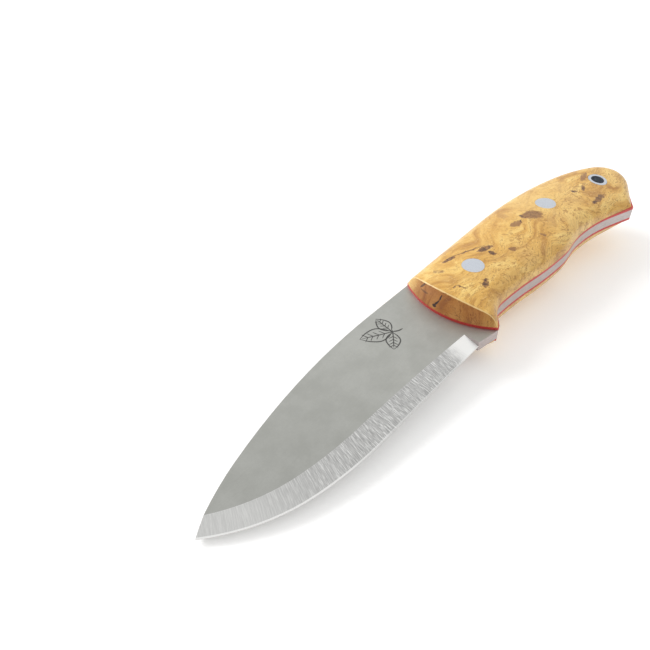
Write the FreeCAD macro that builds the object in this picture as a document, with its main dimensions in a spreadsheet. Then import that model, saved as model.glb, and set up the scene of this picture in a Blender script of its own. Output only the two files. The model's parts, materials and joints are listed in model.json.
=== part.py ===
import FreeCAD, Part
import math
import os

import Sketcher
from FreeCAD import Placement, Rotation, Vector

# A full-tang whittling knife.  Every piece is drawn square to the blade: the point is the origin,
# X runs to the butt, Y to the spine and Z out of the left side, with the blade's mid-plane at Z = 0.
# A common placement then lays the knife down as it rests, on its point and its right-hand scale.

DIMENSIONS = [
    # blade
    ("blade_stock", 3.5, "thickness of the steel, blade and tang"),
    ("blade_length", 102.3, "point to the front of the scales"),
    ("spine_height", 14.4, "spine above the point"),
    ("drop_start", 88.0, "point to where the spine starts to fall"),
    ("drop_mid_x", 21.0, "station on the falling spine"),
    ("drop_mid_y", 7.5, "its height above the point"),
    ("heel_setback", 3.0, "front of the scales to the plunge line"),
    ("heel_depth", 18.6, "edge below the point at the heel"),
    ("belly_start", 50.0, "point to the end of the straight edge"),
    ("belly_depth", 17.3, "edge below the point there"),
    ("belly_mid_x", 27.0, "station on the curved edge"),
    ("belly_mid_y", 14.4, "its depth below the point"),
    ("bevel_heel", 5.3, "width of the bevel at the plunge"),
    ("bevel_belly", 6.7, "its width at the station on the curved edge"),
    ("bevel_point", 4.7, "its width at the point"),
    ("micro_width", 0.5, "width of the fine bevel along the edge"),
    ("micro_thickness", 0.45, "thickness of the steel where it starts"),
    ("edge_land", 0.1, "thickness left at the cutting edge"),
    # outline of the tang, liners and scales, each station measured from the front of the scales
    ("front_radius", 27.8, "curve of the scales' front, seen from the side"),
    ("front_centre_y", -3.8, "height of that curve's centre"),
    ("back_straight", 18.0, "length of the back that runs on from the spine"),
    ("back_level", 13.3, "height of the back there"),
    ("back_x", 50.7, "station on the falling back"),
    ("back_y", 12.4, ""),
    ("guard_y", -20.4, "foot of the guard"),
    ("guard_back_x", 6.4, "rear of the guard's foot"),
    ("guard_back_y", -20.1, ""),
    ("guard_slope_x", 9.6, "half-way up the guard's rear"),
    ("guard_slope_y", -17.8, ""),
    ("finger_x", 17.4, "deepest point of the finger notch"),
    ("finger_y", -15.3, ""),
    ("waist_x", 35.5, "between the notch and the palm"),
    ("waist_y", -17.5, ""),
    ("palm_x", 52.5, "lowest point of the palm"),
    ("palm_y", -19.6, ""),
    # butt, each station measured forward from the end of the handle
    ("handle_length", 113.8, "front of the scales to the butt"),
    ("butt_y", -10.0, "height of the rearmost point"),
    ("shoulder_ahead", 20.2, "where the back falls to the butt"),
    ("shoulder_y", 4.4, ""),
    ("crown_ahead", 5.4, "upper turn of the butt"),
    ("crown_y", -2.8, ""),
    ("turn_ahead", 4.4, "lower turn of the butt"),
    ("turn_y", -20.4, ""),
    ("beak_ahead", 15.6, "corner of the beak"),
    ("beak_y", -26.9, ""),
    ("flare_ahead", 25.6, "underside ahead of the beak"),
    ("flare_y", -23.1, ""),
    ("hollow_ahead", 44.6, "hollow for the little finger"),
    ("hollow_y", -19.0, ""),
    # scales and liners
    ("liner_stock", 1.0, "thickness of one liner"),
    ("swell", 9.9, "half thickness of the handle at its fullest"),
    ("swell_x", 54.7, "front of the scales to the fullest point"),
    ("swell_arc", 1500.0, "lengthwise curve of the scales"),
    ("cross_arc", 40.0, "crosswise curve of the scales"),
    ("handle_fall", 2.5, "slope of the handle's centre line, degrees"),
    ("crest_y", -5.0, "height of the crest at the fullest point"),
    ("front_lean", 3.0, "how far a scale's front leans back at its top"),
    ("edge_round", 6.0, "rounding of the scales' outer edges"),
    ("rim_round", 0.5, "rounding of the front rim"),
    # fasteners
    ("head_dia", 7.4, "bolt head"),
    ("barrel_dia", 5.0, "bolt barrel"),
    ("stud_dia", 3.2, "bolt stud"),
    ("stud_length", 3.4, "stud beyond its barrel"),
    ("socket_depth", 4.0, "blind socket for the stud, from the blade's mid-plane"),
    ("head_floor", 3.4, "wood left under a bolt head"),
    ("bore_clearance", 0.1, "radial room round a barrel or the tube"),
    ("seat_clearance", 0.04, "radial room round a bolt head"),
    ("stud_clearance", 0.05, "radial room round a stud"),
    ("barrel_gap", 0.4, "gap between the two halves of a bolt"),
    ("front_bolt_x", 19.9, "front of the scales to the front bolt"),
    ("front_bolt_y", -1.9, ""),
    ("rear_bolt_x", 68.7, "front of the scales to the rear bolt"),
    ("rear_bolt_y", -3.6, ""),
    ("tube_ahead", 15.9, "butt to the lanyard tube"),
    ("tube_y", -11.2, ""),
    ("tube_dia", 7.2, "outside of the lanyard tube"),
    ("tube_bore", 5.0, "inside of the lanyard tube"),
]

CUT_REACH = 36.0    # how far a cutting profile stands clear of the piece it cuts
FRONT_SPARE = 1.0   # scale material ahead of its front face, cut away by the lean
SWEEP_SPARE = 6.0   # run-out of the bevel past the point
LEAN_SPARE = 1.0    # run-out of the leaning cut above and below the scale
GRIND_SPARE = 1.0   # run-out of the bevel's profile past the edge and past the grind line
LEAN_SWEEP = 120.0  # degrees that the leaning cut turns through
CROWN_SWEEP = 30.0  # degrees that the crowning cut turns through

SIDE_NAME = {1: "left", -1: "right"}

doc = FreeCAD.newDocument("whittling_knife")


def make_sheet():
    """The driving dimensions, one row each: value, alias and meaning."""
    sheet = doc.addObject("Spreadsheet::Sheet", "dims")
    for row, (alias, value, meaning) in enumerate(DIMENSIONS, start=1):
        sheet.set(f"A{row}", str(value))
        sheet.setAlias(f"A{row}", alias)
        sheet.set(f"B{row}", meaning)
    doc.recompute()
    return sheet


sheet = make_sheet()
ALIASES = {alias for alias, value, meaning in DIMENSIONS}


def dim(expression):
    """The expression as another object writes it, with each alias read from the sheet."""
    return " ".join(f"dims.{word}" if word in ALIASES else word for word in expression.split())


def value_of(expression):
    """The expression's value now, in millimetres or degrees."""
    value = sheet.evalExpression(expression)
    return float(getattr(value, "Value", value))


# Places that several pieces share, each an expression in the sheet's aliases.
FRONT_CENTRE = ("blade_length + front_radius", "front_centre_y")
BUTT = "blade_length + handle_length"
HEEL_X = "blade_length - heel_setback"
LINER_FACE = "blade_stock / 2"
SCALE_FACE = "blade_stock / 2 + liner_stock"
SHOULDER = "blade_stock / 2 + liner_stock + head_floor"
FRONT_BOLT = ("blade_length + front_bolt_x", "front_bolt_y")
REAR_BOLT = ("blade_length + rear_bolt_x", "rear_bolt_y")
TUBE = ("blade_length + handle_length - tube_ahead", "tube_y")


def front_x(height, radius="front_radius"):
    """Where the scales' front curve, or one concentric with it, passes a height."""
    return f"{FRONT_CENTRE[0]} - sqrt( ( {radius} ) ^ 2 - ( {height} - front_centre_y ) ^ 2 )"


# Slopes of the cutting edge: along the straight, on the belly, and where it reaches the point.
STRAIGHT_SLOPE = f"atan( ( heel_depth - belly_depth ) / ( {HEEL_X} - belly_start ) )"
START_CHORD = "atan( ( belly_depth - belly_mid_y ) / ( belly_start - belly_mid_x ) )"
POINT_CHORD = "atan( belly_mid_y / belly_mid_x )"
BELLY_SLOPE = f"2 * {START_CHORD} - {STRAIGHT_SLOPE}"
POINT_SLOPE = f"2 * {POINT_CHORD} - ( {BELLY_SLOPE} )"
# Slopes of the spine: along its straight, and where it reaches the point.
SPINE_RISE = "( spine_height - back_level ) / ( blade_length + back_straight - drop_start )"
DROP_CHORD = "atan( ( spine_height - drop_mid_y ) / ( drop_start - drop_mid_x ) )"
DROP_SLOPE = f"2 * atan( drop_mid_y / drop_mid_x ) - 2 * {DROP_CHORD} - atan( {SPINE_RISE} )"


def new_body(label):
    body = doc.addObject("PartDesign::Body", label)
    body.Label = label
    return body


def own_plane(body, role):
    return next(feature for feature in body.Origin.OriginFeatures if feature.Role == role)


def new_sketch(body, name, role="XY_Plane"):
    """A sketch on one of the body's own planes."""
    sketch = body.newObject("Sketcher::SketchObject", f"{body.Name}_{name}")
    sketch.AttachmentSupport = (own_plane(body, role), [""])
    sketch.MapMode = "FlatFace"
    return sketch


def shift(sketch, turn=None, **moves):
    """Moves a sketch off its plane by expressions, and turns it about its own upright axis."""
    if turn:
        sketch.AttachmentOffset = Placement(Vector(), Rotation(Vector(0, 1, 0), value_of(turn)))
        sketch.setExpression(".AttachmentOffset.Rotation.Angle", dim(turn))
    for axis, expression in moves.items():
        sketch.setExpression(f".AttachmentOffset.Base.{axis}", dim(expression))
    doc.recompute()
    return sketch


def signed(expression, side):
    return expression if side > 0 else f"0 - ( {expression} )"


def bind(sketch, kind, *args):
    """Adds a dimensional constraint whose last argument is an expression."""
    *where, expression = args
    index = sketch.addConstraint(Sketcher.Constraint(kind, *where, value_of(expression)))
    sketch.setExpression(f"Constraints[{index}]", dim(expression))


class Outline:
    """A chain of lines and arcs in a sketch, each point bound to the sheet."""

    def __init__(self, sketch, x, y, side=1, slope=None):
        self.sketch = sketch
        self.side = side
        self.point = self.place(x, y)
        self.start = (x, y)
        self.first = self.last = self.heading = None
        if slope:
            angle = math.radians(value_of(slope))
            self.heading = Vector(math.cos(angle), math.sin(angle), 0)

    def place(self, x, y):
        return Vector(value_of(x), value_of(y) * self.side, 0)

    def pin(self, index, position, x, y):
        bind(self.sketch, "DistanceX", -1, 1, index, position, x)
        bind(self.sketch, "DistanceY", -1, 1, index, position, signed(y, self.side))

    def join(self, index, begin, end, tangent=False):
        """Ties a new edge to the one before it."""
        if self.last:
            kind = "Tangent" if tangent else "Coincident"
            self.sketch.addConstraint(Sketcher.Constraint(kind, *self.last, index, begin))
        else:
            self.first = (index, begin)
            self.pin(index, begin, *self.start)
        self.last = (index, end)

    def line(self, x, y, tangent=False):
        end = self.place(x, y)
        index = self.sketch.addGeometry(Part.LineSegment(self.point, end))
        self.join(index, 1, 2, tangent)
        if (x, y) != self.start:
            self.pin(index, 2, x, y)
        self.heading = (end - self.point).normalize()
        self.point = end
        return self

    def round_to(self, centre, end):
        """Adds the arc about a centre from the current point, and gives its index and ends."""
        radial = [self.point - centre, end - centre]
        angles = [math.atan2(spoke.y, spoke.x) for spoke in radial]
        left = self.turns_left
        circle = Part.Circle(centre, Vector(0, 0, 1), radial[0].Length)
        arc = Part.ArcOfCircle(circle, *(angles if left else reversed(angles)))
        self.point = end
        return self.sketch.addGeometry(arc), (1, 2) if left else (2, 1)

    def arc(self, x, y):
        """The one arc that leaves along the last heading and ends at the place given."""
        end = self.place(x, y)
        chord = end - self.point
        normal = Vector(-self.heading.y, self.heading.x, 0)
        reach = chord.dot(chord) / (2 * chord.dot(normal))
        centre = self.point + normal * reach
        self.turns_left = reach > 0
        index, ends = self.round_to(centre, end)
        self.join(index, *ends, tangent=True)
        if (x, y) != self.start:
            self.pin(index, ends[1], x, y)
        spoke = (end - centre).normalize() * (1 if self.turns_left else -1)
        self.heading = Vector(-spoke.y, spoke.x, 0)
        return self

    def close_round(self, centre, radius):
        """Closes the chain with an arc of known radius about a centre."""
        end = self.place(*self.start)
        middle = self.place(*centre)
        self.turns_left = (self.point - middle).cross(end - middle).z > 0
        index, ends = self.round_to(middle, end)
        self.join(index, *ends)
        bind(self.sketch, "Radius", index, radius)
        return self.close()

    def close(self):
        self.sketch.addConstraint(Sketcher.Constraint("Coincident", *self.last, *self.first))
        doc.recompute()
        return self.sketch


def circle_sketch(body, name, centre, *diameters, lift=None):
    """Concentric circles on the blade's plane, or lifted off it."""
    sketch = new_sketch(body, name)
    if lift:
        shift(sketch, z=lift)
    for diameter in diameters:
        radius = value_of(diameter) / 2
        place = Vector(value_of(centre[0]), value_of(centre[1]), 0)
        index = sketch.addGeometry(Part.Circle(place, Vector(0, 0, 1), radius))
        bind(sketch, "DistanceX", -1, 1, index, 3, centre[0])
        bind(sketch, "DistanceY", -1, 1, index, 3, centre[1])
        bind(sketch, "Diameter", index, diameter)
    doc.recompute()
    return sketch


def check_cut(body, before, what):
    """Recomputes, and stops if a cut took nothing from the volume that was there before."""
    doc.recompute()
    if not body.Shape.Volume < before:
        raise RuntimeError(f"{what} cut nothing from {body.Label}")


def pad(body, sketch, length, both_ways=False, reverse=False):
    feature = body.newObject("PartDesign::Pad", f"{sketch.Name}_pad")
    feature.Profile = sketch
    feature.SideType = "Symmetric" if both_ways else "One side"
    feature.Reversed = reverse
    feature.setExpression("Length", dim(length))
    doc.recompute()
    return feature


def pocket(body, sketch, length=None, both_ways=False, reverse=False):
    """A pocket of the length given, or right through."""
    before = body.Shape.Volume
    feature = body.newObject("PartDesign::Pocket", f"{sketch.Name}_pocket")
    feature.Profile = sketch
    feature.SideType = "Symmetric" if both_ways else "One side"
    feature.Reversed = reverse
    if length:
        feature.setExpression("Length", dim(length))
    else:
        feature.Type = "ThroughAll"
    check_cut(body, before, feature.Label)
    return feature


def groove(body, sketch, axis, angle):
    before = body.Shape.Volume
    feature = body.newObject("PartDesign::Groove", f"{sketch.Name}_groove")
    feature.Profile = sketch
    feature.ReferenceAxis = (sketch, [axis])
    feature.Angle = angle
    feature.Midplane = True
    check_cut(body, before, feature.Label)
    return feature


def fillet(body, choose, radius):
    """Rounds the edges that a function chooses from the body's present shape."""
    base = body.Tip
    shape = base.Shape
    chosen = choose(shape)
    names = [f"Edge{number}" for number, edge in enumerate(shape.Edges, start=1)
             if any(edge.isSame(other) for other in chosen)]
    feature = body.newObject("PartDesign::Fillet", f"{body.Name}_{radius}")
    feature.Base = (base, names)
    feature.setExpression("Radius", dim(radius))
    doc.recompute()
    return feature


def front_top(radius):
    """Height of the top corner of the scales' front, on the straight of the back."""
    behind = f"blade_length + back_straight - ( {front_x('back_level', radius)} )"
    return f"back_level + ( {behind} ) * {SPINE_RISE}"


def draw_handle(outline, guard_corner, tangent=False):
    """The handle's outline from the spine round the butt to the foot of the guard."""
    outline.line("blade_length + back_straight", "back_level", tangent)
    outline.arc("blade_length + back_x", "back_y")
    outline.arc(f"{BUTT} - shoulder_ahead", "shoulder_y")
    outline.arc(f"{BUTT} - crown_ahead", "crown_y")
    outline.arc(BUTT, "butt_y")
    outline.arc(f"{BUTT} - turn_ahead", "turn_y")
    outline.arc(f"{BUTT} - beak_ahead", "beak_y")
    outline.line(f"{BUTT} - flare_ahead", "flare_y")
    outline.arc(f"{BUTT} - hollow_ahead", "hollow_y")
    hollow_to_palm = f"( {BUTT} - hollow_ahead + blade_length + palm_x ) / 2"
    outline.arc(hollow_to_palm, "( hollow_y + palm_y ) / 2")
    outline.arc("blade_length + palm_x", "palm_y")
    outline.arc("blade_length + waist_x", "waist_y")
    outline.arc("blade_length + finger_x", "finger_y")
    outline.arc("blade_length + guard_slope_x", "guard_slope_y")
    outline.arc("blade_length + guard_back_x", "guard_back_y")
    outline.line(guard_corner, "guard_y")


def handle_slab(body, face, length, side, front):
    """A slab of the handle's outline, standing out from a face on one side of the blade."""
    sketch = new_sketch(body, "outline")
    shift(sketch, z=signed(face, side))
    top = front_top(front)
    outline = Outline(sketch, front_x(f"( {top} )", front), top)
    draw_handle(outline, front_x("guard_y", front))
    outline.close_round(FRONT_CENTRE, front)
    return pad(body, sketch, length, reverse=side < 0)


def crown(body, side):
    """Grinds a side of the handle to the scales' crowned surface."""
    sketch = new_sketch(body, f"{SIDE_NAME[side]}_crown", "YZ_Plane")
    shift(sketch, turn="0 - handle_fall", x="crest_y", y=signed("swell - swell_arc", side),
          z="blade_length + swell_x")
    low = f"swell_arc - cross_arc + sqrt( cross_arc ^ 2 - {CUT_REACH} ^ 2 )"
    high = f"swell_arc + {CUT_REACH}"
    reach = f"{CUT_REACH}"
    outline = Outline(sketch, f"0 - {CUT_REACH}", low, side)
    outline.line(f"0 - {CUT_REACH}", high)
    outline.line(reach, high)
    outline.line(reach, low)
    outline.close_round(("0", "swell_arc - cross_arc"), "cross_arc")
    return groove(body, sketch, "H_Axis", CROWN_SWEEP)


def drill(body, centre, diameter, name):
    return pocket(body, circle_sketch(body, name, centre, diameter), both_ways=True)


BARREL_HOLE = "barrel_dia + 2 * bore_clearance"
TUBE_HOLE = "tube_dia + 2 * bore_clearance"


def drill_handle(body):
    """The three holes that the tang, the liners and the scales share."""
    drill(body, FRONT_BOLT, BARREL_HOLE, "front_hole")
    drill(body, REAR_BOLT, BARREL_HOLE, "rear_hole")
    drill(body, TUBE, TUBE_HOLE, "tube_hole")


def bevel_profile(body, name, width, slope, **place):
    """Section of what is ground off the left of the blade, with the cutting edge at its origin."""
    sketch = new_sketch(body, name, "YZ_Plane")
    shift(sketch, turn=f"-1 * ( {slope} )", **place)
    bevel_rise = f"( blade_stock - micro_thickness ) / 2 / ( {width} - micro_width )"
    micro_rise = "( micro_thickness - edge_land ) / 2 / micro_width"
    low = f"edge_land / 2 - {GRIND_SPARE} * {micro_rise}"
    high = f"blade_stock / 2 + {GRIND_SPARE} * {bevel_rise}"
    outline = Outline(sketch, f"0 - {GRIND_SPARE}", low)
    outline.line("micro_width", "micro_thickness / 2")
    outline.line(f"{width} + {GRIND_SPARE}", high)
    outline.line(f"0 - {GRIND_SPARE}", high)
    outline.line(*outline.start)
    return outline.close()


def draw_edge(outline):
    """The cutting edge from the heel to the point."""
    outline.line("belly_start", "0 - belly_depth")
    outline.arc("belly_mid_x", "0 - belly_mid_y")
    return outline.arc("0", "0")


def grind_bevel(body):
    """Both bevels: a profile that widens from the heel to the point, run along the edge."""
    run = new_sketch(body, "edge_run")
    past_x = f"0 - {SWEEP_SPARE} * cos( {POINT_SLOPE} )"
    past_y = f"{SWEEP_SPARE} * sin( {POINT_SLOPE} )"
    draw_edge(Outline(run, HEEL_X, "0 - heel_depth")).line(past_x, past_y)
    doc.recompute()
    heel = bevel_profile(body, "heel_section", "bevel_heel", STRAIGHT_SLOPE,
                         x="0 - heel_depth", z=HEEL_X)
    belly = bevel_profile(body, "belly_section", "bevel_belly", BELLY_SLOPE,
                          x="0 - belly_mid_y", z="belly_mid_x")
    point = bevel_profile(body, "point_section", "bevel_point", POINT_SLOPE, x=past_y, z=past_x)
    before = body.Shape.Volume
    sweep = body.newObject("PartDesign::SubtractivePipe", "left_bevel")
    sweep.Profile = heel
    sweep.Spine = (run, [f"Edge{number + 1}" for number in range(len(run.Shape.Edges))])
    sweep.Sections = [(belly, [""]), (point, [""])]
    sweep.Transformation = "Multisection"
    sweep.Mode = "Binormal"
    sweep.Binormal = Vector(0, 0, 1)
    doc.recompute()
    mirror = body.newObject("PartDesign::Mirrored", "right_bevel")
    mirror.Originals = [sweep]
    mirror.MirrorPlane = (own_plane(body, "XY_Plane"), [""])
    body.Tip = mirror
    check_cut(body, before, "the bevels")


def make_blade():
    """Blade and full tang, cut from one bar."""
    body = new_body("blade")
    sketch = new_sketch(body, "outline")
    outline = Outline(sketch, "0", "0", slope=DROP_SLOPE)
    outline.arc("drop_mid_x", "drop_mid_y")
    outline.arc("drop_start", "spine_height")
    draw_handle(outline, front_x("guard_y"), tangent=True)
    outline.line(HEEL_X, "0 - heel_depth")
    draw_edge(outline)
    outline.close()
    pad(body, sketch, "blade_stock", both_ways=True)
    drill_handle(body)
    grind_bevel(body)
    return body


def make_liner(side):
    body = new_body(f"{SIDE_NAME[side]}_liner")
    handle_slab(body, LINER_FACE, "liner_stock", side, "front_radius")
    drill_handle(body)
    return body


# wood left below the seat while the edges are rounded, then planed away
BLOCK_SPARE = "2 * edge_round"
LEAN_SLOPE = f"front_lean / ( swell - ( {SCALE_FACE} ) )"
LEAN_RUN = f"( {BLOCK_SPARE} + {LEAN_SPARE} ) * {LEAN_SLOPE}"


def lean_front(body, side):
    """Leans the scale's front back, as a cone about the axis of the front curve."""
    sketch = new_sketch(body, "front_lean", "XZ_Plane")
    shift(sketch, x=FRONT_CENTRE[0], z="0 - front_centre_y")
    low, high = f"{SCALE_FACE} - {LEAN_SPARE} - {BLOCK_SPARE}", f"swell + {LEAN_SPARE}"
    outline = Outline(sketch, f"0 - front_radius - {LEAN_RUN}", low, side)
    outline.line(f"0 - front_radius + front_lean + {LEAN_SPARE} * {LEAN_SLOPE}", high)
    outline.line(f"0 - front_radius - {CUT_REACH}", high)
    outline.line(f"0 - front_radius - {CUT_REACH}", low)
    outline.line(*outline.start)
    outline.close()
    return groove(body, sketch, "V_Axis", LEAN_SWEEP)


def is_front(face):
    return isinstance(face.Surface, Part.Cone)


def outer_edges(shape, side):
    """The edges round a scale's crowned face, but for the one at its front."""
    top = max(shape.Faces, key=lambda face: face.CenterOfMass.z * side)
    front = next(face for face in shape.Faces if is_front(face))
    return [edge for edge in top.Edges if not any(edge.isSame(other) for other in front.Edges)]


def front_rim(shape):
    """The edges where a scale's front meets its crown and its rounded edges."""
    front = next(face for face in shape.Faces if is_front(face))
    seat = min(abs(vertex.Z) for vertex in front.Vertexes)
    return [edge for edge in front.Edges
            if max(abs(vertex.Z) for vertex in edge.Vertexes) - seat > value_of("front_lean")]


def plane_down(body, side):
    """Planes a scale's block down to the face that meets the liner."""
    sketch = new_sketch(body, "seat")
    shift(sketch, z=signed(SCALE_FACE, side))
    left, right = f"blade_length - {CUT_REACH}", f"{BUTT} + {CUT_REACH}"
    low, high = f"beak_y - {CUT_REACH}", f"spine_height + {CUT_REACH}"
    outline = Outline(sketch, left, low)
    outline.line(right, low)
    outline.line(right, high)
    outline.line(left, high)
    outline.line(*outline.start)
    outline.close()
    pocket(body, sketch, length=f"{BLOCK_SPARE} + edge_round", reverse=side < 0)


def make_scale(side):
    """A wooden scale: sawn to the outline, crowned, its front leaned back and its edges rounded."""
    body = new_body(f"{SIDE_NAME[side]}_scale")
    handle_slab(body, f"{SCALE_FACE} - {BLOCK_SPARE}", f"swell + {BLOCK_SPARE}", side,
                f"front_radius + {LEAN_RUN} + {FRONT_SPARE}")
    crown(body, side)
    lean_front(body, side)
    fillet(body, lambda shape: outer_edges(shape, side), "edge_round")
    plane_down(body, side)
    fillet(body, front_rim, "rim_round")
    drill_handle(body)
    for name, centre in (("front", FRONT_BOLT), ("rear", REAR_BOLT)):
        seat = circle_sketch(body, f"{name}_seat", centre, "head_dia + 2 * seat_clearance",
                             lift=signed(SHOULDER, side))
        pocket(body, seat, length="swell", reverse=side > 0)
    return body


def make_bolt_half(label, centre, side):
    """The head of a two-part handle bolt, ground flush with the scale, and its barrel."""
    body = new_body(label)
    lift = signed(SHOULDER, side)
    head = circle_sketch(body, "head", centre, "head_dia", lift=lift)
    pad(body, head, "swell", reverse=side < 0)
    crown(body, side)
    barrel = circle_sketch(body, "barrel", centre, "barrel_dia", lift=lift)
    pad(body, barrel, f"{SHOULDER} - barrel_gap / 2", reverse=side > 0)
    return body


def make_bolt(name, centre):
    """A nut on the left with a blind socket, and a screw on the right whose stud enters it."""
    nut = make_bolt_half(f"{name}_bolt_nut", centre, 1)
    socket = circle_sketch(nut, "socket", centre, "stud_dia + 2 * stud_clearance")
    pocket(nut, socket, length="socket_depth", reverse=True)
    screw = make_bolt_half(f"{name}_bolt_screw", centre, -1)
    stud = circle_sketch(screw, "stud", centre, "stud_dia", lift="0 - barrel_gap / 2")
    pad(screw, stud, "stud_length")
    return [nut, screw]


def make_tube():
    """The lanyard tube, its mouths ground flush with the scales."""
    body = new_body("lanyard_tube")
    pad(body, circle_sketch(body, "ring", TUBE, "tube_dia", "tube_bore"), "2 * swell + 2",
        both_ways=True)
    crown(body, 1)
    crown(body, -1)
    return body


# The two places that touch the ground: the flat's forward end on the right of the blade, and the
# front rim of the right-hand scale.
FLAT_X = f"bevel_point * cos( {DROP_SLOPE} ) / sin( {POINT_SLOPE} + {DROP_SLOPE} )"
FLAT_DROP = "blade_stock / 2"
RIM_X = "blade_length + front_lean"
RIM_DROP = "swell - swell_arc + sqrt( swell_arc ^ 2 - ( swell_x - front_lean ) ^ 2 )"


def lay_down(body):
    """Tips a piece with the whole knife, so that the point and the lower scale touch the ground."""
    lean = f"atan( ( {RIM_DROP} - {FLAT_DROP} ) / ( {RIM_X} - {FLAT_X} ) )"
    tilt = f"-1 * {lean}"
    body.Placement = Placement(Vector(), Rotation(Vector(0, 1, 0), value_of(tilt)))
    body.setExpression(".Placement.Rotation.Angle", dim(tilt))
    body.setExpression(".Placement.Base.x", dim(f"-1 * ( {BUTT} ) / 2"))
    body.setExpression(".Placement.Base.y", dim("-1 * ( spine_height + beak_y ) / 2"))
    body.setExpression(".Placement.Base.z", dim(f"{FLAT_DROP} * cos( {lean} ) - {FLAT_X} * sin( {lean} )"))


def main():
    bodies = [make_blade()]
    for side in SIDE_NAME:
        bodies += [make_liner(side), make_scale(side)]
    bodies += make_bolt("front", FRONT_BOLT) + make_bolt("rear", REAR_BOLT) + [make_tube()]
    for body in bodies:
        lay_down(body)
    doc.recompute()
    write_parts(bodies)


def write_parts(bodies):
    """Writes each piece once every object has recomputed and every shape is sound."""
    for entry in doc.Objects:
        if {"Invalid", "Error"} & set(entry.State):
            raise RuntimeError(f"{entry.Label} did not recompute")
    os.makedirs("parts", exist_ok=True)
    for body in bodies:
        shape = body.Shape
        if shape.isNull() or not shape.isValid() or len(shape.Solids) != 1:
            raise RuntimeError(f"{body.Label} is not one sound solid")
        print(f"{body.Label}: {shape.Volume / 1000:.2f} cm3")
        shape.exportStep(f"parts/{body.Label}.step")


main()
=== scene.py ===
import json
import math

import bmesh
import bpy
from mathutils import Matrix, Vector


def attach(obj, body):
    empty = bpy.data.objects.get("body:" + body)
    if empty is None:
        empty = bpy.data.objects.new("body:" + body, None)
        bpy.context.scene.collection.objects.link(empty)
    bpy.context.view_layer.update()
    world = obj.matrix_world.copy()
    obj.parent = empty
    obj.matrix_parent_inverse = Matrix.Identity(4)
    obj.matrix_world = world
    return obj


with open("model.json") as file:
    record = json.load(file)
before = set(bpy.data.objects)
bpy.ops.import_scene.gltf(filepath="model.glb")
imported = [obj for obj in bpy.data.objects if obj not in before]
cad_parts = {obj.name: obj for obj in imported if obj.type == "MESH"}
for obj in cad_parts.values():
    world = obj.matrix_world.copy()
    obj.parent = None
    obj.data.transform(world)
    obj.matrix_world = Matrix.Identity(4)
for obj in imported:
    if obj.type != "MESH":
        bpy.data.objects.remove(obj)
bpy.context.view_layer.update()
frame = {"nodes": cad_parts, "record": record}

# The knife's own frame is in millimetres: the point is the origin, X runs to the butt, Y to the spine
# and Z out of the left side.  The lanyard bore ties that frame to the one the knife lies in.
BORE = frame["record"]["mounts"][0]
BORE_CENTRE = Vector((200.2, -11.2, 0.0))
AXIS = Vector(BORE["axis"])
TILT = math.atan2(-AXIS.x, AXIS.z)
TURN = Matrix.Rotation(-TILT, 3, "Y")
POINT = Vector(BORE["pos_m"]) - TURN @ BORE_CENTRE / 1000
FLAT = 1.75         # half the blade's thickness, in mm

# Camera, in the knife's own frame: place in mm, heading, dip in degrees; lens and sensor in mm.
EYE = (-49.2, -79.05, 146.94)
HEADING = (0.7768, 0.6298, 0.0)
DIP = 42.0
LENS, SENSOR = 38.77, 36.0

# Lights, in metres and watts: name, place, size of the panel, power.
PANELS = [("key", (-0.25, 0.95, 0.75), (0.8, 0.5), 7.5), ("fill", (0.35, -1.0, 0.8), (0.9, 0.6), 2.0)]
BRIGHT_SIDE = (0.45, 0.55, 0.70)    # the studio is brightest this way and dim on the other side
DIM, BRIGHT = 0.22, 0.86
FLOOR_REACH, FLOOR_GAP = 3.0, 0.0002


def lay(x, y, z):
    """A place in the knife's own frame, as it lies."""
    return TURN @ Vector((x, y, z)) / 1000 + POINT


# ---------------------------------------------------------------- camera, light and floor

def add_camera():
    data = bpy.data.cameras.new("camera")
    data.lens = LENS
    data.sensor_width = SENSOR
    data.clip_start = 0.01
    camera = bpy.data.objects.new("camera", data)
    bpy.context.scene.collection.objects.link(camera)
    dip = math.radians(DIP)
    ahead = Vector(HEADING).normalized()
    look = ahead * math.cos(dip) - Vector((0, 0, 1)) * math.sin(dip)
    right = Vector((ahead.y, -ahead.x, 0.0))
    up = right.cross(look)
    basis = Matrix((right, up, -look)).transposed()
    camera.matrix_world = Matrix.Translation(lay(*EYE)) @ (TURN @ basis).to_4x4()
    bpy.context.scene.camera = camera


def add_area(name, place, size, power):
    """A soft panel that faces the knife."""
    data = bpy.data.lights.new(name, "AREA")
    data.shape = "RECTANGLE"
    data.size, data.size_y = size
    data.energy = power
    light = bpy.data.objects.new(name, data)
    light.location = Vector(place)
    light.rotation_euler = (-light.location).to_track_quat("-Z", "Y").to_euler()
    bpy.context.scene.collection.objects.link(light)


def add_lights():
    for panel in PANELS:
        add_area(*panel)
    world = bpy.data.worlds.new("studio")
    world.use_nodes = True
    tree = world.node_tree
    way = tree.nodes.new("ShaderNodeTexCoord").outputs["Generated"]
    facing = tree.nodes.new("ShaderNodeVectorMath")
    facing.operation = "DOT_PRODUCT"
    tree.links.new(way, facing.inputs[0])
    facing.inputs[1].default_value = BRIGHT_SIDE
    level = tree.nodes.new("ShaderNodeMapRange")
    level.interpolation_type = "SMOOTHSTEP"
    tree.links.new(facing.outputs["Value"], level.inputs["Value"])
    level.inputs["From Min"].default_value = -0.5
    level.inputs["From Max"].default_value = 0.7
    level.inputs["To Min"].default_value = DIM
    level.inputs["To Max"].default_value = BRIGHT
    tree.links.new(level.outputs["Result"], tree.nodes["Background"].inputs["Strength"])
    tree.nodes["Background"].inputs["Color"].default_value = (1.0, 1.0, 1.0, 1.0)
    bpy.context.scene.world = world


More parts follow.
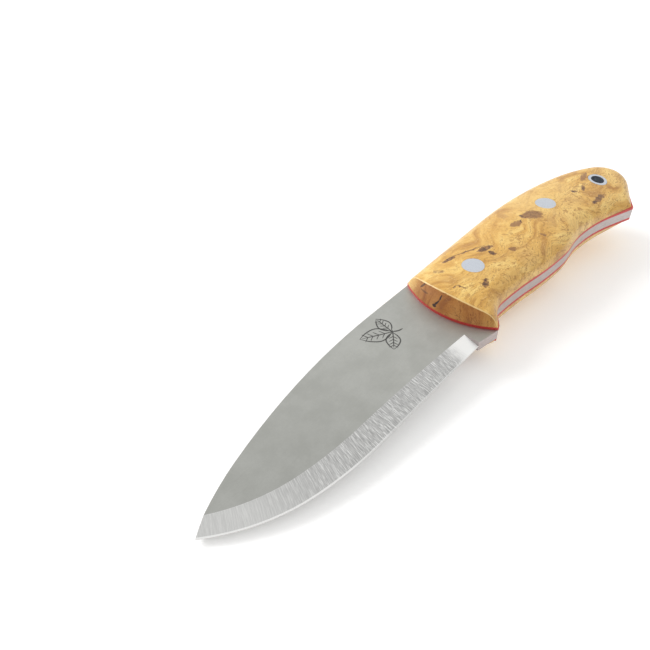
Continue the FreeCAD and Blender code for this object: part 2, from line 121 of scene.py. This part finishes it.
def add_floor(material):
    mesh = bpy.data.meshes.new("floor")
    corners = [(x * FLOOR_REACH, y * FLOOR_REACH, -FLOOR_GAP)
               for x, y in ((-1, -1), (1, -1), (1, 1), (-1, 1))]
    mesh.from_pydata(corners, [], [(0, 1, 2, 3)])
    floor = bpy.data.objects.new("floor", mesh)
    floor.data.materials.append(material)
    bpy.context.scene.collection.objects.link(floor)


# ---------------------------------------------------------------- node helpers

class Nodes:
    """A material's node tree, built by small calls that give back sockets."""

    def __init__(self, name):
        self.material = bpy.data.materials.new(name)
        self.material.use_nodes = True
        self.tree = self.material.node_tree
        self.shader = self.tree.nodes["Principled BSDF"]

    def put(self, socket, value):
        if isinstance(value, bpy.types.NodeSocket):
            self.tree.links.new(value, socket)
        elif isinstance(value, (tuple, list)) and socket.type == "RGBA":
            socket.default_value = (*value, 1.0) if len(value) == 3 else value
        else:
            socket.default_value = value

    def node(self, kind, inputs=None, **settings):
        made = self.tree.nodes.new(kind)
        for key, value in settings.items():
            setattr(made, key, value)
        for key, value in (inputs or {}).items():
            self.put(made.inputs[key], value)
        return made

    def knife(self):
        """Coordinates in the knife's own frame, in millimetres."""
        where = self.node("ShaderNodeTexCoord").outputs["Object"]
        mapped = self.node("ShaderNodeMapping", {"Vector": where, "Location": POINT,
                                                 "Rotation": (0.0, -TILT, 0.0),
                                                 "Scale": (0.001, 0.001, 0.001)},
                           vector_type="TEXTURE")
        return mapped.outputs["Vector"]

    def split(self, vector):
        return self.node("ShaderNodeSeparateXYZ", {"Vector": vector}).outputs

    def join(self, x, y, z):
        return self.node("ShaderNodeCombineXYZ", {"X": x, "Y": y, "Z": z}).outputs["Vector"]

    def math(self, operation, a, b=0.0, clamp=False):
        made = self.node("ShaderNodeMath", operation=operation, use_clamp=clamp)
        self.put(made.inputs[0], a)
        self.put(made.inputs[1], b)
        return made.outputs[0]

    def vmath(self, operation, a, b=(0, 0, 0), scale=None):
        made = self.node("ShaderNodeVectorMath", operation=operation)
        self.put(made.inputs[0], a)
        if scale is not None:
            self.put(made.inputs["Scale"], scale)
        else:
            self.put(made.inputs[1], b)
        return made.outputs["Vector"]

    def ramp(self, value, low, high, to_low=0.0, to_high=1.0, smooth=True):
        made = self.node("ShaderNodeMapRange", {"Value": value, "From Min": low, "From Max": high,
                                                "To Min": to_low, "To Max": to_high},
                         interpolation_type="SMOOTHSTEP" if smooth else "LINEAR", clamp=True)
        return made.outputs["Result"]

    def noise(self, vector, scale, detail=3.0, rough=0.55, distortion=0.0):
        made = self.node("ShaderNodeTexNoise", {"Vector": vector, "Scale": scale, "Detail": detail,
                                                "Roughness": rough, "Distortion": distortion})
        return made.outputs["Fac"]

    def mix(self, factor, a, b, blend="MIX"):
        made = self.node("ShaderNodeMix", data_type="RGBA", blend_type=blend)
        self.put(made.inputs[0], factor)
        self.put(made.inputs[6], a)
        self.put(made.inputs[7], b)
        return made.outputs[2]

    def colours(self, value, *stops):
        made = self.node("ShaderNodeValToRGB", {"Fac": value})
        ramp = made.color_ramp
        while len(ramp.elements) < len(stops):
            ramp.elements.new(0.5)
        for element, (place, colour) in zip(ramp.elements, stops):
            element.position = place
            element.color = (*colour, 1.0)
        return made.outputs["Color"]

    def bump(self, height, distance, strength=1.0):
        made = self.node("ShaderNodeBump", {"Height": height, "Distance": distance,
                                            "Strength": strength})
        return made.outputs["Normal"]

    def set(self, **inputs):
        for key, value in inputs.items():
            self.put(self.shader.inputs[key.replace("_", " ")], value)
        return self.material


# ---------------------------------------------------------------- materials

def floor_paper():
    n = Nodes("floor_paper")
    where = n.node("ShaderNodeTexCoord").outputs["Object"]
    grain = n.noise(where, 900.0, 4.0)
    tone = n.mix(n.ramp(grain, 0.3, 0.7), (0.93, 0.93, 0.93), (0.96, 0.96, 0.955))
    return n.set(Base_Color=tone, Roughness=0.75, Normal=n.bump(grain, 0.00003),
                 Emission_Color=(1.0, 0.99, 0.97), Emission_Strength=0.20)


MIDDLE = (0.5, 0.5, 0.5)    # what a noise's colour swings about

# Dark figure in the burl of the left scale: place and half-sizes in the knife's frame, turn, depth.
FLECKS = [
    (121.6, 6.5, 3.4, 1.0, -14, 0.80), (128.0, 4.0, 7.8, 0.35, -28, 0.75),
    (132.6, -0.4, 3.4, 1.3, -20, 0.85), (131.7, -3.6, 1.6, 1.1, -90, 0.95),
    (138.1, -7.8, 1.8, 1.1, -36, 0.60), (117.4, -9.3, 2.4, 1.1, 27, 0.80),
    (109.4, -3.0, 1.3, 0.35, -15, 0.75), (110.6, -4.9, 1.8, 0.35, -81, 0.75),
    (161.0, -3.4, 4.4, 2.9, -38, 0.62), (157.8, -1.2, 1.6, 0.9, -100, 0.90),
    (152.0, -1.7, 3.0, 1.6, -14, 0.50), (154.6, -2.2, 1.2, 0.5, 40, 0.90),
    (152.8, -11.6, 1.6, 0.7, -77, 0.40), (185.3, -8.1, 1.1, 0.8, -50, 0.80),
    (190.1, -9.7, 2.2, 0.8, 22, 0.70), (188.8, -16.7, 4.8, 1.2, -2, 0.66),
    (185.5, -16.5, 1.8, 1.0, 0, 0.95), (198.4, -6.2, 4.4, 1.4, 11, 0.40),
    (113.7, 5.6, 2.2, 1.2, -67, 0.35),
]
# Cracks in the front end grain: the same, but the place is across (Y) and up (Z).
CRACKS = [
    (-2.5, 9.6, 1.7, 0.30, -47, 0.95), (-1.2, 6.9, 1.1, 0.35, -80, 0.95),
    (-0.4, 4.9, 1.5, 0.40, -57, 0.95), (0.1, 3.9, 0.9, 0.50, 0, 0.90),
    (5.2, 5.6, 2.2, 0.35, -5, 0.45), (6.5, 7.0, 2.1, 0.40, -55, 0.60),
]


# The right scale has half as many flecks, turned over, and is cut from further along the block.
RIGHT_FLECKS = [(x, -3.0 - y * 0.8, long, wide, -turn, depth)
                for x, y, long, wide, turn, depth in FLECKS[::2]]
OTHER_WOOD = 71.0


def fleck_mask(n, spot, fleck):
    """A dark fleck, one at its heart and nought outside."""
    x, y, half_long, half_wide, turn, depth = fleck
    made = n.node("ShaderNodeMapping", {"Vector": spot, "Location": (x, y, 0.0),
                                        "Rotation": (0.0, 0.0, math.radians(turn)),
                                        "Scale": (half_long, half_wide, 1.0)},
                  vector_type="TEXTURE")
    flat = n.vmath("MULTIPLY", made.outputs["Vector"], (1.0, 1.0, 0.0))
    reach = n.node("ShaderNodeVectorMath", {0: flat}, operation="LENGTH").outputs["Value"]
    return n.math("MULTIPLY", n.ramp(reach, 1.1, 0.60), depth)


def darkest(n, spot, flecks):
    """All the flecks as one mask."""
    masks = [fleck_mask(n, spot, fleck) for fleck in flecks]
    top = masks[0]
    for mask in masks[1:]:
        top = n.math("MAXIMUM", top, mask)
    return top


def burl_figure(n, place, low_side):
    """Colour, bands and fine grain of the burl; low_side falls toward the edge side of the handle."""
    drift = n.node("ShaderNodeTexNoise", {"Vector": place, "Scale": 0.045, "Detail": 1.5})
    swirl = n.vmath("SUBTRACT", drift.outputs["Color"], MIDDLE)
    bent = n.vmath("ADD", place, n.vmath("SCALE", swirl, scale=26.0))
    ragged = n.node("ShaderNodeTexNoise", {"Vector": place, "Scale": 0.75, "Detail": 3.0,
                                           "Roughness": 0.6})
    fray = n.vmath("SCALE", n.vmath("SUBTRACT", ragged.outputs["Color"], MIDDLE), scale=2.2)
    torn = n.vmath("ADD", bent, fray)
    bands = n.noise(n.vmath("MULTIPLY", bent, (0.06, 0.24, 0.2)), 1.0, 4.0, 0.55, 0.5)
    broad = n.noise(place, 0.05, 2.0, 0.5, 0.6)
    fine = n.noise(n.vmath("MULTIPLY", torn, (0.5, 2.0, 1.4)), 1.0, 5.0, 0.65)
    speck = n.noise(n.vmath("MULTIPLY", torn, (0.34, 0.8, 0.6)), 1.0, 3.0, 0.6, 1.6)
    colour = n.colours(n.ramp(bands, 0.28, 0.74),
                       (0.0, (0.50, 0.225, 0.034)), (0.30, (0.72, 0.395, 0.075)),
                       (0.60, (0.82, 0.490, 0.112)), (1.0, (0.94, 0.655, 0.205)))
    colour = n.mix(n.ramp(broad, 0.40, 0.66, 0.0, 0.5), colour, (0.90, 0.62, 0.22))
    colour = n.mix(n.ramp(fine, 0.53, 0.70, 0.0, 0.55), colour, (0.46, 0.20, 0.032))
    colour = n.mix(n.ramp(fine, 0.46, 0.30, 0.0, 0.45), colour, (0.97, 0.74, 0.31))
    low = n.ramp(n.math("ADD", low_side, n.math("MULTIPLY", broad, 24.0)), 14.0, 4.0)
    share = n.math("ADD", n.math("MULTIPLY", low, 0.50), 0.28)
    spots = n.math("MULTIPLY", n.ramp(speck, 0.52, 0.62), share)
    return n.mix(spots, colour, (0.44, 0.20, 0.038)), bands, fine, fray


def with_flecks(n, colour, place, spot, flecks):
    """Dark flecks, each a brown halo round a nearly black heart."""
    heart = n.noise(place, 0.9, 4.0, 0.7, 0.5)
    depth = n.math("MULTIPLY", darkest(n, spot, flecks), n.ramp(heart, 0.36, 0.58, 0.50, 1.0))
    colour = n.mix(n.ramp(depth, 0.06, 0.34, 0.0, 0.9), colour, (0.30, 0.135, 0.040))
    return n.mix(n.ramp(depth, 0.45, 0.80, 0.0, 0.92), colour, (0.085, 0.036, 0.014))


def with_end_grain_shade_and_rim_highlight(n, colour, spot, cracks):
    """End grain goes darker, partly the oiled end grain's own tone and partly painted shade on the
    front face, with a painted highlight on the rounded rim round it and cracks in it.
    """
    normal = n.node("ShaderNodeNewGeometry").outputs["Normal"]
    ahead = n.node("ShaderNodeVectorMath", {0: normal, 1: tuple(TURN @ Vector((-1, 0, 0)))},
                   operation="DOT_PRODUCT").outputs["Value"]
    end = n.ramp(ahead, 0.72, 0.86)
    rim_highlight = n.math("MULTIPLY", n.ramp(ahead, 0.22, 0.42), n.ramp(ahead, 0.80, 0.66))
    # Darker front end face: the end grain's own tone together with painted shade.
    colour = n.mix(end, colour, n.mix(1.0, colour, (0.60, 0.40, 0.32), "MULTIPLY"))
    # Painted highlight on the rounded rim round the front face.
    colour = n.mix(n.math("MULTIPLY", rim_highlight, 0.65), colour, (0.97, 0.74, 0.36))
    crack = n.math("MULTIPLY", darkest(n, spot, cracks), end)
    return n.mix(n.ramp(crack, 0.1, 0.8), colour, (0.045, 0.018, 0.008))


def burl_wood(name, flecks, cracks, offset):
    """Oiled burl; the offset, in mm, takes the wood from another part of the block."""
    n = Nodes(name)
    own = n.knife()
    place = n.vmath("ADD", own, (offset, offset * 0.7, 0.0))
    parts = n.split(own)
    colour, bands, fine, fray = burl_figure(n, place, parts["Y"])
    colour = with_flecks(n, colour, place, n.vmath("ADD", own, fray), flecks)
    across = n.join(parts["Y"], parts["Z"], 0.0)
    spot = n.vmath("ADD", across, n.vmath("SCALE", fray, scale=0.25))
    colour = with_end_grain_shade_and_rim_highlight(n, colour, spot, cracks)
    relief = n.math("ADD", n.math("MULTIPLY", fine, 0.4), n.math("MULTIPLY", bands, 0.6))
    gloss = n.ramp(fine, 0.3, 0.7, 0.34, 0.46)
    return n.set(Base_Color=colour, Roughness=gloss, Normal=n.bump(relief, 0.00006, 0.5),
                 Coat_Weight=0.35, Coat_Roughness=0.22, Specular_IOR_Level=0.4)


def liner_fibre():
    n = Nodes("liner_fibre")
    place = n.knife()
    fibre = n.noise(n.vmath("MULTIPLY", place, (0.8, 3.0, 6.0)), 1.0, 4.0, 0.6)
    colour = n.mix(n.ramp(fibre, 0.3, 0.7), (0.50, 0.030, 0.024), (0.72, 0.060, 0.045))
    return n.set(Base_Color=colour, Roughness=0.42, Normal=n.bump(fibre, 0.00002))


def bolt_steel():
    n = Nodes("bolt_steel")
    place = n.knife()
    lines = n.noise(n.vmath("MULTIPLY", place, (1.2, 9.0, 2.0)), 1.0, 3.0, 0.6)
    colour = n.mix(n.ramp(lines, 0.3, 0.7), (0.62, 0.66, 0.72), (0.74, 0.78, 0.84))
    return n.set(Base_Color=colour, Metallic=1.0, Roughness=n.ramp(lines, 0.3, 0.7, 0.30, 0.42),
                 Normal=n.bump(lines, 0.000006))


def flat_steel(n, place, x):
    """The flats: fine lengthwise scratches on a cloudy mottle, darker toward the point."""
    scratch = n.noise(n.vmath("MULTIPLY", place, (0.12, 5.5, 1.0)), 1.0, 4.0, 0.6)
    cloud = n.noise(place, 0.14, 5.0, 0.6)
    grit = n.noise(place, 1.6, 4.0, 0.7)
    colour = n.mix(n.ramp(cloud, 0.3, 0.7), (0.445, 0.450, 0.420), (0.500, 0.505, 0.475))
    colour = n.mix(n.ramp(scratch, 0.55, 0.8, 0.0, 0.35), colour, (0.60, 0.60, 0.57))
    colour = n.mix(n.ramp(grit, 0.35, 0.65, 0.0, 0.18), colour, (0.40, 0.40, 0.38))
    tone = n.ramp(x, 5.0, 75.0, 0.70, 1.02, smooth=False)
    return n.vmath("SCALE", colour, scale=tone), scratch


def grinding_lines(n, x, y):
    """Coarse and fine lines that run across the edge and turn with it round the belly."""
    lean = n.ramp(x, 0.0, 58.0, 0.75, 0.03, smooth=False)
    sine, cosine = n.math("SINE", lean), n.math("COSINE", lean)
    along = n.math("SUBTRACT", n.math("MULTIPLY", x, cosine), n.math("MULTIPLY", y, sine))
    down = n.math("ADD", n.math("MULTIPLY", x, sine), n.math("MULTIPLY", y, cosine))
    run = n.join(n.math("MULTIPLY", along, 2.9), n.math("MULTIPLY", down, 0.13), 0.0)
    fine_run = n.join(n.math("MULTIPLY", along, 6.0), n.math("MULTIPLY", down, 0.45), 3.0)
    return n.noise(run, 1.0, 4.0, 0.72), n.noise(fine_run, 1.0, 2.0, 0.6)


def bevel_steel(n, x, lines, fine_lines, fade, heel, thin):
    """The bevels: ground lines; the plunge is made near-white and the thin edge bevel carries a
    painted highlight.
    """
    colour = n.mix(n.math("MULTIPLY", n.ramp(lines, 0.44, 0.60), fade),
                   (0.66, 0.66, 0.645), (1.0, 1.0, 0.98))
    colour = n.mix(n.math("MULTIPLY", n.ramp(fine_lines, 0.56, 0.42), fade), colour,
                   (0.50, 0.50, 0.49))
    colour = n.vmath("SCALE", colour, scale=n.ramp(x, 10.0, 28.0, 1.0, 0.86))
    colour = n.mix(heel, colour, (0.98, 0.98, 0.96))
    # painted highlight: the thin edge bevel is made near-white
    return n.mix(thin, colour, (0.96, 0.96, 0.94))


def blade_steel():
    n = Nodes("blade_steel")
    place = n.knife()
    parts = n.split(place)
    x = parts["X"]
    normal = n.node("ShaderNodeNewGeometry").outputs["Normal"]
    across = n.node("ShaderNodeVectorMath", {0: normal, 1: tuple(AXIS)}, operation="DOT_PRODUCT")
    flatness = n.math("ABSOLUTE", across.outputs["Value"])
    on_flat = n.ramp(flatness, 0.980, 0.994)
    on_edge = n.ramp(flatness, 0.75, 0.55)
    heel = n.ramp(x, 87.0, 95.5)
    # Painted highlight along the thin edge bevel, strongest toward the point.
    thin = n.math("MULTIPLY", n.ramp(n.math("ABSOLUTE", parts["Z"]), 0.24, 0.19),
                  n.ramp(x, 62.0, 30.0, 0.35, 0.85))
    fade = n.ramp(x, 14.0, 46.0, 0.25, 1.0)
    flat_colour, scratch = flat_steel(n, place, x)
    lines, fine_lines = grinding_lines(n, x, parts["Y"])
    # Spine and edge faces: grey steel with lines, tinted pink as a painted reflection of the wood and
    # liners.
    edge_lines = n.noise(n.vmath("MULTIPLY", place, (0.35, 0.35, 7.0)), 1.0, 3.0, 0.6)
    edge_steel_and_pink_reflection = n.mix(n.ramp(edge_lines, 0.3, 0.7), (0.44, 0.38, 0.37), (0.58, 0.52, 0.51))
    colour = n.mix(on_flat, bevel_steel(n, x, lines, fine_lines, fade, heel, thin), flat_colour)
    colour = n.mix(on_edge, colour, edge_steel_and_pink_reflection)
    rough_bevel = n.math("ADD", 0.30, n.math("MULTIPLY", n.ramp(lines, 0.3, 0.7), 0.10))
    rough = n.mix(on_flat, rough_bevel, n.ramp(scratch, 0.3, 0.7, 0.44, 0.54))
    off_flat = n.math("SUBTRACT", 1.0, on_flat)
    height = n.math("ADD", n.math("MULTIPLY", n.math("MULTIPLY", lines, off_flat), fade),
                    n.math("MULTIPLY", n.math("MULTIPLY", scratch, on_flat), 0.25))
    # The near-white plunge and the painted edge highlight lose most of their metal sheen.
    pale_heel_and_painted_edge_highlight = n.math("MULTIPLY", n.math("MAXIMUM", heel, thin),
                    n.math("SUBTRACT", 1.0, n.math("MAXIMUM", on_flat, on_edge)))
    metal = n.math("SUBTRACT", 1.0, n.math("MULTIPLY", pale_heel_and_painted_edge_highlight, 0.75))
    return n.set(Base_Color=colour, Metallic=metal, Roughness=rough,
                 Normal=n.bump(height, 0.00005, 0.6))


def etched_oxide():
    n = Nodes("etched_oxide")
    place = n.knife()
    grain = n.noise(place, 3.0, 4.0, 0.7)
    colour = n.mix(n.ramp(grain, 0.3, 0.7), (0.050, 0.050, 0.047), (0.105, 0.103, 0.096))
    return n.set(Base_Color=colour, Roughness=0.7, Normal=n.bump(grain, 0.00001))


# ---------------------------------------------------------------- the mark etched on the blade

PROUD, SUNK = 0.015, 0.02                   # how far the strips stand out of and into the flat, in mm
OUTLINE, VEIN, MIDRIB, STALK = 0.42, 0.26, 0.36, 0.5    # widths of the lines, in mm
LEAF_EDGE = [(0, 0), (0.18, 0.62), (0.45, 1.0), (0.75, 0.66), (1, 0)]
VEIN_STARTS = (0.22, 0.40, 0.58, 0.74)
# Base in the knife's frame, turn in degrees, length and half width of each leaf.
LEAVES = [((86.6, 4.6), 148, 10.6, 2.9), ((86.8, 5.0), 78, 7.0, 2.2), ((86.4, 4.2), 218, 7.4, 2.2)]


def smooth_line(points, steps=10):
    """Points along a smooth curve through the points given."""
    spots = [Vector(p) for p in points]
    padded = [2 * spots[0] - spots[1], *spots, 2 * spots[-1] - spots[-2]]
    line = []
    for a, b, c, d in zip(padded, padded[1:], padded[2:], padded[3:]):
        for step in range(steps):
            t = step / steps
            line.append(0.5 * (2 * b + (c - a) * t + (2 * a - 5 * b + 4 * c - d) * t * t
                               + (3 * b - a - 3 * c + d) * t ** 3))
    return line + [spots[-1]]


def stroke(bm, points, width):
    """One etched line: a thin strip with closed sides, tapering at both ends."""
    top, under = FLAT + PROUD, FLAT - SUNK
    line = smooth_line(points)
    count = len(line) - 1
    rings = []
    for k, spot in enumerate(line):
        way = (line[min(k + 1, count)] - line[max(k - 1, 0)]).normalized()
        side = Vector((-way.y, way.x))
        half = width / 2 * (0.35 + 0.65 * min(1.0, 4 * k / count, 4 * (count - k) / count))
        corners = [(half, top), (-half, top), (-half, under), (half, under)]
        rings.append([bm.verts.new(lay(*(spot + side * s), z)) for s, z in corners])
    for near, far in zip(rings, rings[1:]):
        for k in range(4):
            bm.faces.new((near[k], far[k], far[(k + 1) % 4], near[(k + 1) % 4]))
    bm.faces.new(rings[0])
    bm.faces.new(reversed(rings[-1]))


def leaf(bm, base, angle, length, spread):
    """A leaf outline with its midrib and side veins."""
    turn = Matrix.Rotation(math.radians(angle), 2)
    root = Vector(base)

    def at(u, v):
        return root + turn @ Vector((u * length, v * spread))

    for side in (1, -1):
        stroke(bm, [at(u, side * v) for u, v in LEAF_EDGE], OUTLINE)
        for u in VEIN_STARTS:
            stroke(bm, [at(u, 0), at(u + 0.08, side * 0.30), at(u + 0.14, side * 0.60)], VEIN)
    stroke(bm, [at(-0.16, 0), at(0.4, 0.03), at(0.93, 0)], MIDRIB)


def add_mark(material):
    """A sprig of three leaves on the left flat."""
    bm = bmesh.new()
    for shape in LEAVES:
        leaf(bm, *shape)
    stroke(bm, [(86.7, 4.6), (88.2, 3.4), (89.9, 2.9)], STALK)
    mesh = bpy.data.meshes.new("leaf_mark")
    bmesh.ops.recalc_face_normals(bm, faces=bm.faces)
    bm.to_mesh(mesh)
    bm.free()
    mark = bpy.data.objects.new("leaf_mark", mesh)
    mark.data.materials.append(material)
    bpy.context.scene.collection.objects.link(mark)
    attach(mark, "root")


# ---------------------------------------------------------------- the whole knife

def dress(material, *names):
    """Gives CAD nodes a material."""
    for name in names:
        slots = frame["nodes"][name].material_slots
        if not slots:
            frame["nodes"][name].data.materials.append(material)
        for slot in slots:
            slot.material = material


add_camera()
add_lights()
add_floor(floor_paper())
dress(burl_wood("burl_left", FLECKS, CRACKS, 0.0), "left_scale")
dress(burl_wood("burl_right", RIGHT_FLECKS, CRACKS[-1:], OTHER_WOOD), "right_scale")
dress(liner_fibre(), "left_liner", "right_liner")
dress(blade_steel(), "blade")
dress(bolt_steel(), "front_bolt_nut", "front_bolt_screw", "rear_bolt_nut", "rear_bolt_screw",
      "lanyard_tube")
add_mark(etched_oxide())
bpy.context.scene.view_settings.view_transform = "Standard"
